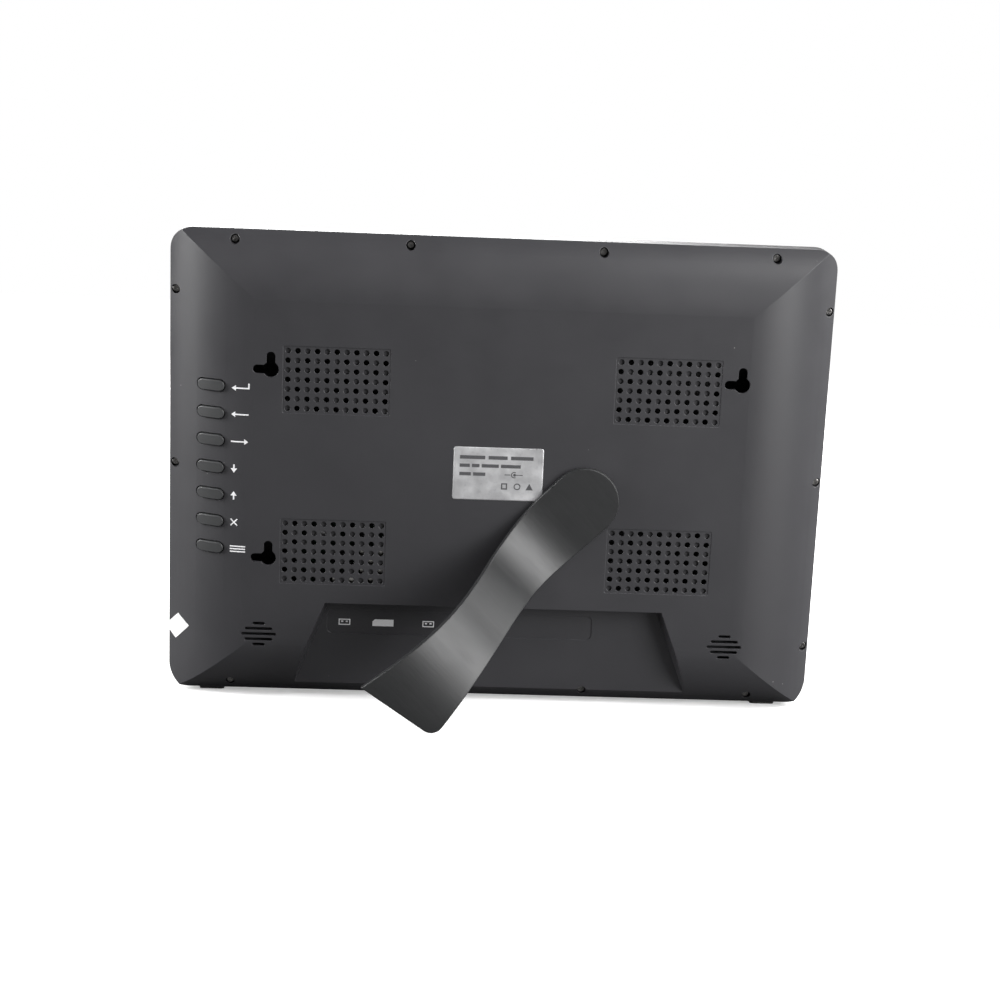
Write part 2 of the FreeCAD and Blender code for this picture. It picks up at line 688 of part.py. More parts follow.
def speaker_cone(x):
    """Paper cone with a dust cap, inside the basket."""
    outer = flared(5.0, SPEAKER_R - 2.2, SPEAKER_Y - 4.4, SPEAKER_Y - 0.8, x)
    inner = flared(4.6, SPEAKER_R - 2.6, SPEAKER_Y - 4.0, SPEAKER_Y - 0.4, x)
    cap = rod(4.9, SPEAKER_Y - 4.4, SPEAKER_Y - 3.4, x, SPEAKER_Z)
    return fuse([outer.cut(inner), cap])


def speaker_magnet(x):
    return rod(MAGNET_R, MAGNET_BACK_Y, SPEAKER_Y - 6.2, x, SPEAKER_Z)


def speaker_screws():
    return Part.makeCompound([small_screw(x, z, SPEAKER_EAR_Y - EAR_T, 3.6, 0.85, 1.8)
                              for x, z in speaker_post_places()])


def pair(maker):
    return Part.makeCompound([maker(sx * SPEAKER_X) for sx in (1, -1)])


# ---- wiring inside the case ----
def bent_tube(points, radius, bend_r):
    """A round lead: straight runs joined by tangent arcs."""
    points = [V(*p) for p in points]
    edges = []
    start = points[0]
    for before, corner, after in zip(points, points[1:], points[2:]):
        inward = (before - corner).normalize()
        outward = (after - corner).normalize()
        half_turn = (math.pi - inward.getAngle(outward)) / 2
        reach = bend_r * math.tan(half_turn)
        first = corner + inward * reach
        last = corner + outward * reach
        bisector = (inward + outward).normalize()
        middle = corner + bisector * (bend_r / math.cos(half_turn) - bend_r)
        edges += [line(start, first), arc(first, middle, last)]
        start = last
    edges.append(line(start, points[-1]))
    path = Part.Wire(edges)
    section = Part.Wire(Part.makeCircle(radius, points[0], points[1] - points[0]))
    return path.makePipeShell([section], True, False)


def speaker_leads():
    """One lead from the side of each magnet to the main board, laid between display and board."""
    high = MAGNET_BACK_Y + 2.7
    low = 8.0
    made = []
    for x, board_x in ((SPEAKER_X, BOARD_X[1] - 8), (-SPEAKER_X, BOARD_X[0] + 8)):
        route = [(x, high, SPEAKER_Z + MAGNET_R + 0.1), (x, high, -70), (x, low, -62),
                 (board_x, low, -40), (board_x, BOARD_Y, -40)]
        made.append(bent_tube(route, 0.8, 3.0))
    return Part.makeCompound(made)


def display_cable():
    """Flat flexible cable from the display's edge up to the main board."""
    x0, x1 = DISPLAY_RIBBON_X
    turn_z, far_z = DISPLAY_RIBBON_Z
    y0 = LCD_BACK_Y + 0.1
    plug_y = BOARD_Y - 2.0
    lower = box((x0, x1), (y0, y0 + RIBBON_T), (turn_z, far_z))
    riser = box((x0, x1), (y0, plug_y), (turn_z - RIBBON_T, turn_z))
    plug = box((x0 - 2, x1 + 2), (plug_y, BOARD_Y), (turn_z - 3, turn_z + 3))
    return fuse([lower, riser, plug])


def key_cable():
    """Flat cable from the key board across to the main board."""
    y1 = SWITCH_TOP_Y - SWITCH_H - BOARD_T
    turn_x = BOARD_X[1] - 12
    across = box((turn_x, KEY_X + 2), (y1 - RIBBON_T, y1), KEY_RIBBON_Z)
    riser = box((turn_x, turn_x + RIBBON_T), (y1, BOARD_Y), KEY_RIBBON_Z)
    return fuse([across, riser])


# ---- leg ----
def leg_point(s, t, y):
    """s runs down the leg from the pivot, t across it, y out from the back."""
    k = math.sqrt(0.5)
    return V(PIVOT_X + (s - t) * k, y, PIVOT_Z - (s + t) * k)


def leg_side(sign):
    curve = Part.BSplineCurve()
    points = [leg_point(s, sign * half, 0) for s, half in LEG_HALF]
    along = leg_point(1, 0, 0) - leg_point(0, 0, 0)
    curve.interpolate(points, InitialTangent=along, FinalTangent=points[-1] - points[-2])
    return curve.toShape()


def leg_plan():
    """Round head, waisted sides and a foot cut at a slant, as a prism."""
    half_head = LEG_HALF[0][1]
    half_foot = LEG_HALF[-1][1]
    head = arc(leg_point(0, half_head, 0), leg_point(-half_head, 0, 0), leg_point(0, -half_head, 0))
    closing = line(leg_point(FOOT_LONG, -half_foot, 0), leg_point(FOOT_LONG, half_foot, 0))
    height = V(0, LEG_FOOT_Y + 20, 0)
    prism = face_of([head, leg_side(-1), closing, leg_side(1)]).extrude(height)
    offcut = ((FOOT_LONG, -half_foot), (FOOT_SHORT, half_foot), (FOOT_SHORT, half_foot + 20),
              (FOOT_LONG + 20, half_foot + 20), (FOOT_LONG + 20, -half_foot))
    corners = [leg_point(s, t, 0) for s, t in offcut]
    prism = prism.cut(Part.Face(Part.makePolygon(corners + corners[:1])).extrude(height))
    short_corner = leg_point(FOOT_SHORT, half_foot, 0)
    uprights = [e for e in prism.Edges if e.BoundBox.YLength > LEG_FOOT_Y]
    nearest = min(uprights, key=lambda e: math.hypot(e.BoundBox.Center.x - short_corner.x,
                                                     e.BoundBox.Center.z - short_corner.z))
    return prism.makeFillet(FOOT_CORNER_R, [nearest])


def leg_face_points(offset):
    """Corners, tangent points and bend middles of one face of the strip, as (s, y)."""
    outer_low = COVER_DEPTH + GAP + LEG_T
    angle = math.atan2(LEG_FOOT_Y - outer_low, LEG_LEVEL_AT - LEG_RISE_AT)
    shift = offset * math.tan(angle / 2)
    slope = (math.cos(angle), math.sin(angle))
    points = [(-40.0, outer_low - offset)]
    for s, y, radius, side in ((LEG_RISE_AT + shift, outer_low - offset, LEG_BEND_R[0] + offset, 1),
                               (LEG_LEVEL_AT + shift, LEG_FOOT_Y - offset, LEG_BEND_R[1] - offset, -1)):
        reach = radius * math.tan(angle / 2)
        first = (s - reach, y) if side > 0 else (s - reach * slope[0], y - reach * slope[1])
        last = (s + reach * slope[0], y + reach * slope[1]) if side > 0 else (s + reach, y)
        sag = side * radius * (1 / math.cos(angle / 2) - 1)
        middle = (s - sag * math.sin(angle / 2), y + sag * math.cos(angle / 2))
        points += [first, middle, last]
    return points + [(170.0, LEG_FOOT_Y - offset)]


def leg_strip():
    """The S-bent strip, extruded straight across the leg."""
    edges = []
    ends = []
    for offset in (0.0, LEG_T):
        p = [leg_point(s, -60, y) for s, y in leg_face_points(offset)]
        edges += [line(p[0], p[1]), arc(p[1], p[2], p[3]), line(p[3], p[4]), arc(p[4], p[5], p[6]),
                  line(p[6], p[7])]
        ends.append((p[0], p[7]))
    edges += [line(ends[0][0], ends[1][0]), line(ends[0][1], ends[1][1])]
    outline = Part.Face(Part.Wire(Part.sortEdges(edges)[0]))
    return outline.extrude(leg_point(0, 60, 0) - leg_point(0, -60, 0))


def outer_edges(strip):
    """The edges where the leg's outer face meets its upright sides."""
    def rise(face):
        u0, u1, v0, v1 = face.ParameterRange
        return face.normalAt((u0 + u1) / 2, (v0 + v1) / 2).y

    found = []
    for edge in strip.Edges:
        rises = [rise(face) for face in strip.ancestorsOfType(edge, Part.Face)]
        if max(rises) > 0.3 and abs(min(rises)) < 0.01:
            found.append(edge)
    return found


def below_floor():
    """Everything under the ground plane, in the upright frame."""
    lean = math.radians(LEAN_DEG)
    block = Part.makeBox(900, 900, 200, V(-450, -450, -200))
    block.rotate(V(0, 0, 0), V(1, 0, 0), LEAN_DEG)
    block.translate(V(0, -math.sin(lean), math.cos(lean)) * FLOOR_LEVEL)
    return block


def stand_leg():
    """Leg and the hub that turns in the cover, one moulding."""
    strip = leg_plan().common(leg_strip())
    strip = strip.makeFillet(LEG_EDGE_R, outer_edges(strip)).cut(below_floor())
    hub = rod(HUB_R, HUB_END_Y, COVER_DEPTH + GAP + 1, PIVOT_X, PIVOT_Z)
    hole = rod(LEG_SCREW_R + RUNNING_FIT, HUB_END_Y - 1, COVER_DEPTH + 2.2, PIVOT_X, PIVOT_Z)
    return fuse([strip, hub]).cut(hole)


def leg_washer():
    return ring(LEG_WASHER_R, LEG_SCREW_R + 0.2, HUB_END_Y - LEG_WASHER_T, HUB_END_Y, PIVOT_X, PIVOT_Z)


def leg_spring_washer():
    return ring(8.6, HUB_R + 0.5, HUB_END_Y, HUB_BOSS_Y - 0.1, PIVOT_X, PIVOT_Z)


def leg_screw():
    under_head = HUB_END_Y - LEG_WASHER_T
    head = rod(3.6, under_head - 2.2, under_head, PIVOT_X, PIVOT_Z)
    shank = rod(LEG_SCREW_R, under_head, COVER_DEPTH + 2.0, PIVOT_X, PIVOT_Z)
    socket = cross_recess(PIVOT_X, under_head - 2.2, PIVOT_Z, 2.0)
    return fuse([head, shank]).cut(socket)


# ---- label, seal and feet ----
def rating_label():
    return box((LABEL_X - LABEL_W / 2, LABEL_X + LABEL_W / 2), (COVER_DEPTH, COVER_DEPTH + PAPER_T),
               (LABEL_Z - LABEL_H / 2, LABEL_Z + LABEL_H / 2))


def tamper_seal():
    """Paper seal stuck over the lowest side screw, folded round the case's edge."""
    skin = cover_body(-PAPER_T).cut(cover_body(0.0))
    long_side, short_side = SEAL_SIDES
    patch = box((-long_side / 2, long_side / 2), (0, COVER_DEPTH), (-short_side / 2, short_side / 2))
    patch.rotate(V(0, 0, 0), V(0, 1, 0), -SEAL_TURN)
    patch.translate(V(SEAL_X, 0, SEAL_Z))
    return skin.common(patch)


def rubber_feet():
    """Two pads under the case's bottom edge, their soles flat on the ground."""
    made = []
    length, depth, height = FOOT_PAD
    back = COVER_DEPTH - END_DROP - 0.8
    for sx in (1, -1):
        x = sx * FOOT_X
        pad = box((x - length / 2, x + length / 2), (back - depth, back),
                  (-CASE_H / 2 - height - 3, -CASE_H / 2))
        corners = [e for e in pad.Edges if e.BoundBox.ZLength > 1]
        made.append(pad.makeFillet(2.0, corners).cut(below_floor()))
    return Part.makeCompound(made)


# ---- assembly ----
def fixed_parts():
    parts = {
        "front_bezel": front_bezel(),
        "rear_cover": rear_cover(),
        "case_screws": case_screws(),
        "lcd_metal_frame": lcd_metal_frame(),
        "lcd_brackets": lcd_brackets(),
        "bracket_screws": bracket_screws(),
        "display_cable": display_cable(),
        "main_board": main_board(),
        "board_screws": board_screws(),
        "board_chips": board_chips(),
        "board_capacitors": board_capacitors(),
        "usb_sockets": usb_sockets(),
        "sd_card_socket": sd_card_socket(),
        "earphone_jack": earphone_jack(),
        "dc_jack": dc_jack(),
        "key_board": key_board(),
        "key_board_screws": key_board_screws(),
        "key_cable": key_cable(),
        "tact_switches": tact_switches(),
        "speaker_gaskets": pair(speaker_gasket),
        "speaker_frames": pair(speaker_frame),
        "speaker_cones": pair(speaker_cone),
        "speaker_magnets": pair(speaker_magnet),
        "speaker_screws": speaker_screws(),
        "speaker_leads": speaker_leads(),
        "rating_label": rating_label(),
        "tamper_seal": tamper_seal(),
        "rubber_feet": rubber_feet(),
    }
    parts.update(lcd_stack())
    return parts


def moving_parts():
    parts = {
        "stand_leg": stand_leg(),
        "leg_washer": leg_washer(),
        "leg_spring_washer": leg_spring_washer(),
        "leg_screw": leg_screw(),
    }
    for name, z in key_places():
        parts["button_" + name] = key_button(z)
        parts["plunger_" + name] = switch_plunger(z)
    return parts


def place(parts):
    """Lean the frame back and stand it on the ground, centred front to back."""
    for shape in parts.values():
        shape.rotate(V(0, 0, 0), V(1, 0, 0), -LEAN_DEG)
    front = parts["front_bezel"].optimalBoundingBox().YMin
    back = parts["stand_leg"].optimalBoundingBox().YMax
    for shape in parts.values():
        shape.translate(V(0, -(front + back) / 2, -FLOOR_LEVEL))
    return -(front + back) / 2


def main():
    os.makedirs("parts", exist_ok=True)
    parts = fixed_parts()
    parts.update(moving_parts())
    shift = place(parts)
    for node, shape in parts.items():
        shape.exportStep("parts/" + node + ".step")
    print("nodes", len(parts), "shift of the upright frame's origin", round(shift, 3), round(-FLOOR_LEVEL, 3))


main()
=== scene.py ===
import json
import math

import bmesh
import bpy
from mathutils import Euler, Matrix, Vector, noise
from mathutils.bvhtree import BVHTree


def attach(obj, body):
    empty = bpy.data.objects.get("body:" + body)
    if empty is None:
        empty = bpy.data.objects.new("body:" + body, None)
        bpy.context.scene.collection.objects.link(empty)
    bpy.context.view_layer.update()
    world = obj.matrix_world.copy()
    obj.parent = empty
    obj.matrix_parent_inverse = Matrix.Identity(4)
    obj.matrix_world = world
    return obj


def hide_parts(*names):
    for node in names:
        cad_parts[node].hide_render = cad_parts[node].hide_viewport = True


# Looks of the digital photo frame: finishes for every CAD node, the crumpled foil label, the
# printing on the back, the floor, the lights and the camera. Lengths are metres.
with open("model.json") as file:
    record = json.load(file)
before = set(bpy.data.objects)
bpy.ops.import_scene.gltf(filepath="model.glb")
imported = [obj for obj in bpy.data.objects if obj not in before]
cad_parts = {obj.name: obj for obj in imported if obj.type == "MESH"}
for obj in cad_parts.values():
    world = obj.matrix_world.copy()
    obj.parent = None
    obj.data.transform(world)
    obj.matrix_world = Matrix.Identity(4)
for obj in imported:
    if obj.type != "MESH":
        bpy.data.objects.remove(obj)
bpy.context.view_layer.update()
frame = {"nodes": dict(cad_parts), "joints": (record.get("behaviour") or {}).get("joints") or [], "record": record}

MM = 0.001
NODES = frame["nodes"]
MOUNTS = {m["name"]: m for m in frame["record"]["mounts"]}

# The leaning case's own directions: across it, straight out of its back, and up along it.
ACROSS = Vector((1, 0, 0))
SWIVEL = next(j for j in frame["joints"] if j["name"] == "leg_swivel")
BACK = Vector(SWIVEL["axis"]).normalized()
UP = ACROSS.cross(BACK)

# ---- camera ----
CAMERA_AT = (0.05018, 1.13928, 0.26683)
CAMERA_TURN = (82.698, -2.129, 177.725)
CAMERA_LENS = 75.0

# ---- studio ----
CENTRE = Vector((0, 0, 0.14))    # what every light is turned towards
FLOOR_HALF = 6.0
FLOOR_BOUNCE = 0.12              # how much light the floor throws back on the object
FLOOR_FADE = (0.3, 1.2)          # distances over which the floor's picture fades to white
FLOOR_GLOW = (0.35, 1.0)         # and its own brightness to the camera there
WORLD_LEVEL = 0.12

# ---- printing and label ----
INK_LIFT = 0.04 * MM
INK_THICKNESS = 0.03 * MM
INK_CELL = 0.6 * MM
LEGEND_GAP = 2.6 * MM            # from a key's flange to its legend
PORT_LEGEND_DROP = 14.3 * MM     # from a port's mouth down to its legend
LABEL_CELL = 0.5 * MM
LABEL_CORNER = 1.3 * MM
LABEL_THICKNESS = 0.08 * MM


# ---- places on the case ----
def span(node, axis):
    """Lowest and highest reach of a CAD node along one of the case's directions."""
    reach = [v.co.dot(axis) for v in NODES[node].data.vertices]
    return min(reach), max(reach)


def middle(node, axis):
    return sum(span(node, axis)) / 2


def surface_of(mesh):
    return BVHTree.FromPolygons([v.co for v in mesh.vertices], [p.vertices for p in mesh.polygons])


REAR = surface_of(NODES["rear_cover"].data)
BEHIND = span("stand_leg", BACK)[1]
COVER_LEVEL = span("rear_cover", BACK)[1]


def spot(x, up, out):
    """The point at these distances along the case's three directions."""
    return ACROSS * x + UP * up + BACK * out


def drop(x, up, surface):
    """Where a line straight into the back first meets a surface."""
    hit = surface.ray_cast(spot(x, up, BEHIND), -BACK)[0]
    if hit is None:
        raise ValueError(f"nothing under {x:.4f}, {up:.4f}")
    return hit


# ---- material nodes ----
class Finish:
    """A Principled material that is built one node at a time."""

    def __init__(self, name, **sockets):
        self.material = bpy.data.materials.new(name)
        self.material.use_nodes = True
        self.tree = self.material.node_tree
        self.shader = self.tree.nodes["Principled BSDF"]
        self.place = self.node("ShaderNodeTexCoord").outputs["Object"]
        self.height = None
        for socket, value in sockets.items():
            self.shader.inputs[socket.replace("_", " ")].default_value = value

    def node(self, kind, values=None, **settings):
        made = self.tree.nodes.new(kind)
        for setting, value in settings.items():
            setattr(made, setting, value)
        for socket, value in (values or {}).items():
            target = made.inputs[socket]
            if isinstance(value, bpy.types.NodeSocket):
                self.tree.links.new(value, target)
            else:
                target.default_value = value
        return made

    def set(self, socket, value):
        self.tree.links.new(value, self.shader.inputs[socket])

    def stretched(self, scale, turn=(0, 0, 0)):
        """The object's own coordinates, turned, then scaled unevenly, for streaks."""
        turned = self.node("ShaderNodeMapping", {"Vector": self.place, "Rotation": turn})
        return self.node("ShaderNodeMapping", {"Vector": turned.outputs[0], "Scale": scale}).outputs[0]

    def noise(self, size, detail=3.0, rough=0.55, place=None):
        """Clouds whose features are about size metres across, 0 to 1."""
        values = {"Vector": place or self.place, "Scale": 1 / size, "Detail": detail, "Roughness": rough}
        return self.node("ShaderNodeTexNoise", values).outputs[0]

    def cells(self, size, feature="F1", randomness=1.0):
        """Distance to the nearest of scattered points, about size metres apart, in cell widths."""
        values = {"Vector": self.place, "Scale": 1 / size, "Randomness": randomness}
        return self.node("ShaderNodeTexVoronoi", values, feature=feature).outputs["Distance"]

    def ranged(self, value, low, high, to_low=0.0, to_high=1.0):
        values = {"Value": value, "From Min": low, "From Max": high, "To Min": to_low, "To Max": to_high}
        return self.node("ShaderNodeMapRange", values).outputs[0]

    def math(self, operation, a, b):
        made = self.node("ShaderNodeMath", operation=operation)
        for i, value in enumerate((a, b)):
            if isinstance(value, bpy.types.NodeSocket):
                self.tree.links.new(value, made.inputs[i])
            else:
                made.inputs[i].default_value = value
        return made.outputs[0]

    def mixed(self, share, first, second):
        """A colour between two colours; share is a node's output."""
        mix = self.node("ShaderNodeMix", data_type="RGBA")
        self.tree.links.new(share, mix.inputs["Factor"])
        for socket, colour in ((mix.inputs[6], first), (mix.inputs[7], second)):
            if isinstance(colour, bpy.types.NodeSocket):
                self.tree.links.new(colour, socket)
            else:
                socket.default_value = (*colour, 1.0)
        return mix.outputs[2]

    def bump(self, height, depth):
        """Relief of so many metres, laid over any relief already there."""
        values = {"Height": height, "Distance": depth, "Strength": 1.0}
        if self.height is not None:
            values["Normal"] = self.height
        self.height = self.node("ShaderNodeBump", values).outputs[0]
        self.set("Normal", self.height)

    def soft_edges(self, radius):
        """Sharp edges shade as if rounded; returns 1 on the edges and 0 on the flats."""
        bevel = self.node("ShaderNodeBevel", {"Radius": radius}, samples=6)
        self.height = bevel.outputs[0]
        self.set("Normal", self.height)
        true = self.node("ShaderNodeNewGeometry").outputs["Normal"]
        turn = self.node("ShaderNodeVectorMath", {0: self.height, 1: true}, operation="DOT_PRODUCT")
        return self.ranged(turn.outputs["Value"], 0.995, 0.85)

    def dust(self, size, amount):
        """Sparse specks: 1 on a speck, 0 elsewhere."""
        speck = self.ranged(self.cells(size), 0.07, 0.03)
        sparse = self.ranged(self.noise(size * 7, 2.0), 1 - amount, 1 - amount + 0.02)
        return self.math("MULTIPLY", speck, sparse)


def grey(level, tint=0.0):
    """A near-neutral colour; tint above 0 is cooler."""
    return (level * (1 - tint), level, level * (1 + tint))


def moulded(name, colour, rough, grain=0.35 * MM, relief=0.012 * MM, edge=0.35 * MM, dusty=0.0):
    """Spark-textured moulded plastic: fine grain, slow shade and gloss drift, rubbed edges, a little dust."""
    f = Finish(name, IOR=1.5)
    worn = f.soft_edges(edge)
    drift = f.noise(60 * MM, 3.0)
    grainy = f.noise(grain, 3.0, 0.6)
    darker = tuple(c * 0.86 for c in colour)
    lighter = tuple(c * 1.14 for c in colour)
    shade = f.mixed(drift, darker, lighter)
    shade = f.mixed(f.ranged(grainy, 0.62, 0.8, 0.0, 0.35), shade, tuple(c * 1.9 for c in colour))
    shade = f.mixed(f.math("MULTIPLY", worn, 0.45), shade, tuple(c * 2.2 + 0.01 for c in colour))
    if dusty:
        shade = f.mixed(f.dust(5 * MM, dusty), shade, (0.32, 0.31, 0.3))
    f.set("Base Color", shade)
    smudge = f.ranged(f.noise(28 * MM, 4.0, 0.65), 0.3, 0.7, rough - 0.05, rough + 0.05)
    f.set("Roughness", f.math("SUBTRACT", smudge, f.math("MULTIPLY", worn, 0.08)))
    f.bump(f.noise(9 * MM, 2.0), 0.02 * MM)
    f.bump(grainy, relief)
    return f.material


def leg_plastic(name):
    """Smoother satin black, with faint drawn streaks along the leg and scuffs at its foot."""
    f = Finish(name, IOR=1.5)
    worn = f.soft_edges(0.5 * MM)
    along = f.stretched((1, 1, 9), (0, math.radians(45), 0))
    streaks = f.noise(14 * MM, 4.0, 0.6, along)
    fine = f.noise(0.5 * MM, 2.0)
    shade = f.mixed(streaks, (0.017, 0.0175, 0.018), (0.023, 0.0235, 0.0245))
    shade = f.mixed(f.math("MULTIPLY", worn, 0.6), shade, (0.11, 0.11, 0.115))
    shade = f.mixed(f.dust(6 * MM, 0.35), shade, (0.3, 0.3, 0.29))
    f.set("Base Color", shade)
    f.set("Roughness", f.ranged(f.math("ADD", streaks, f.noise(35 * MM)), 0.7, 1.3, 0.35, 0.45))
    f.bump(streaks, 0.05 * MM)
    f.bump(fine, 0.004 * MM)
    return f.material


def steel(name, colour, rough, brushed=True, painted_reflection_spread=0.0, grime=0.4):
    """Plated or plain sheet steel with fine drawing lines, blotchy plating, grime in patches and, when asked,
    painted dark reflections on a random share of its parts.
    """
    f = Finish(name, Metallic=1.0)
    worn = f.soft_edges(0.15 * MM)
    blotch = f.noise(6 * MM, 4.0, 0.6)
    dirt = f.ranged(f.noise(2.5 * MM, 4.0), 0.55, 0.8, 0.0, grime)
    dull = tuple(c * 0.7 for c in colour)
    shade = f.mixed(blotch, dull, colour)
    if painted_reflection_spread:
        # Painted reflection: a random share of the parts, such as screws, is darkened in place of mirrored dark
        # surroundings.
        chance = f.node("ShaderNodeNewGeometry").outputs["Random Per Island"]
        shade = f.mixed(f.ranged(chance, 0.2, 0.8, 0.0, painted_reflection_spread), shade, tuple(c * 0.3 for c in colour))
    shade = f.mixed(dirt, shade, (0.06, 0.055, 0.05))
    shade = f.mixed(f.math("MULTIPLY", worn, 0.5), shade, tuple(min(1, c * 1.3) for c in colour))
    f.set("Base Color", shade)
    lines = f.noise(0.25 * MM, 3.0, 0.6, f.stretched((1, 1, 0.06)) if brushed else None)
    f.set("Roughness", f.ranged(f.math("ADD", lines, blotch), 0.6, 1.4, rough - 0.06, rough + 0.08))
    f.bump(lines, 0.006 * MM)
    return f.material


def foil(name):
    """Silver label foil: creases come from the mesh, finer wrinkles and rubbed patches from here."""
    f = Finish(name, Metallic=0.75)
    patches = f.noise(9 * MM, 3.0)
    wrinkles = f.noise(2.2 * MM, 4.0, 0.6)
    shade = f.mixed(patches, (0.58, 0.58, 0.595), (0.95, 0.95, 0.96))
    shade = f.mixed(f.ranged(wrinkles, 0.55, 0.8, 0.0, 0.4), shade, (0.4, 0.4, 0.42))
    f.set("Base Color", shade)
    f.set("Roughness", f.ranged(patches, 0.3, 0.7, 0.3, 0.46))
    f.bump(wrinkles, 0.06 * MM)
    return f.material


def ink(name, colour, patchy=0.35):
    """Screen-printed ink: slightly uneven cover and a dry, matt surface."""
    f = Finish(name, IOR=1.48)
    cover = f.noise(0.8 * MM, 4.0, 0.65)
    shade = f.mixed(f.ranged(cover, 0.55, 0.75, 0.0, patchy), colour, tuple(c * 0.55 for c in colour))
    f.set("Base Color", shade)
    f.set("Roughness", f.ranged(cover, 0.3, 0.7, 0.5, 0.7))
    f.bump(cover, 0.01 * MM)
    return f.material


def fibrous(name, colour, rough=0.85, fibre=0.7 * MM):
    """Paper, felt or pressed pulp: short fibres, soft mottling and a soft sheen."""
    f = Finish(name, IOR=1.45, Sheen_Weight=0.15)
    fibres = f.noise(fibre, 5.0, 0.7, f.stretched((1, 1, 0.4), (0.3, 0.5, 0.7)))
    mottle = f.noise(7 * MM, 3.0)
    shade = f.mixed(mottle, tuple(c * 0.86 for c in colour), colour)
    shade = f.mixed(f.ranged(fibres, 0.6, 0.85, 0.0, 0.4), shade, tuple(c * 0.7 for c in colour))
    f.set("Base Color", shade)
    f.set("Roughness", f.ranged(fibres, 0.2, 0.8, rough - 0.08, rough + 0.05))
    f.bump(fibres, 0.02 * MM)
    return f.material


def rubber(name, colour):
    """Dull rubber with pores, a pale bloom and scuffed edges."""
    f = Finish(name, IOR=1.5)
    worn = f.soft_edges(0.4 * MM)
    pores = f.cells(0.6 * MM)
    bloom = f.noise(5 * MM, 4.0)
    shade = f.mixed(f.ranged(bloom, 0.45, 0.8, 0.0, 0.5), colour, tuple(c * 2.2 for c in colour))
    shade = f.mixed(f.math("MULTIPLY", worn, 0.5), shade, tuple(c * 3 for c in colour))
    f.set("Base Color", shade)
    f.set("Roughness", f.ranged(bloom, 0.3, 0.7, 0.72, 0.88))
    f.bump(pores, 0.015 * MM)
    return f.material


def circuit(name):
    """Solder mask over copper: fine traces on a square grid, pads and a glassy coat."""
    f = Finish(name, IOR=1.5, Coat_Weight=0.3, Coat_Roughness=0.2)
    blocks = f.cells(2.6 * MM, "DISTANCE_TO_EDGE", 0.25)
    traces = f.ranged(blocks, 0.05, 0.09, 1.0, 0.0)
    pads = f.ranged(f.cells(2.6 * MM, "F1", 0.25), 0.1, 0.08)
    weave = f.noise(0.5 * MM, 2.0)
    shade = f.mixed(weave, (0.004, 0.02, 0.01), (0.006, 0.03, 0.015))
    shade = f.mixed(traces, shade, (0.01, 0.05, 0.025))
    shade = f.mixed(pads, shade, (0.4, 0.38, 0.34))
    f.set("Base Color", shade)
    f.set("Metallic", pads)
    f.set("Roughness", f.ranged(weave, 0.3, 0.7, 0.3, 0.42))
    f.bump(f.math("MAXIMUM", traces, pads), 0.03 * MM)
    return f.material


def glass(name):
    """The display's face: dark polariser under an anti-glare film, with wiping marks."""
    f = Finish(name, IOR=1.5, Coat_Weight=0.3, Coat_Roughness=0.08)
    wipes = f.noise(50 * MM, 4.0, 0.6, f.stretched((1, 1, 3), (0, 0.5, 0)))
    cells = f.noise(0.3 * MM, 2.0)
    f.set("Base Color", f.mixed(wipes, (0.007, 0.0075, 0.009), (0.009, 0.0095, 0.0115)))
    f.set("Roughness", f.ranged(wipes, 0.3, 0.7, 0.17, 0.195))
    f.bump(cells, 0.003 * MM)
    return f.material


def clear_sheet(name, colour, rough):
    """Acrylic or film: nearly clear, with faint moulding waves and scratches."""
    f = Finish(name, IOR=1.49, Transmission_Weight=0.6)
    waves = f.noise(20 * MM, 3.0)
    scratches = f.noise(0.6 * MM, 3.0, 0.6, f.stretched((1, 1, 0.05), (0, 0.8, 0)))
    f.set("Base Color", f.mixed(waves, tuple(c * 0.93 for c in colour), colour))
    f.set("Roughness", f.ranged(scratches, 0.3, 0.8, rough, rough + 0.12))
    f.bump(scratches, 0.005 * MM)
    return f.material


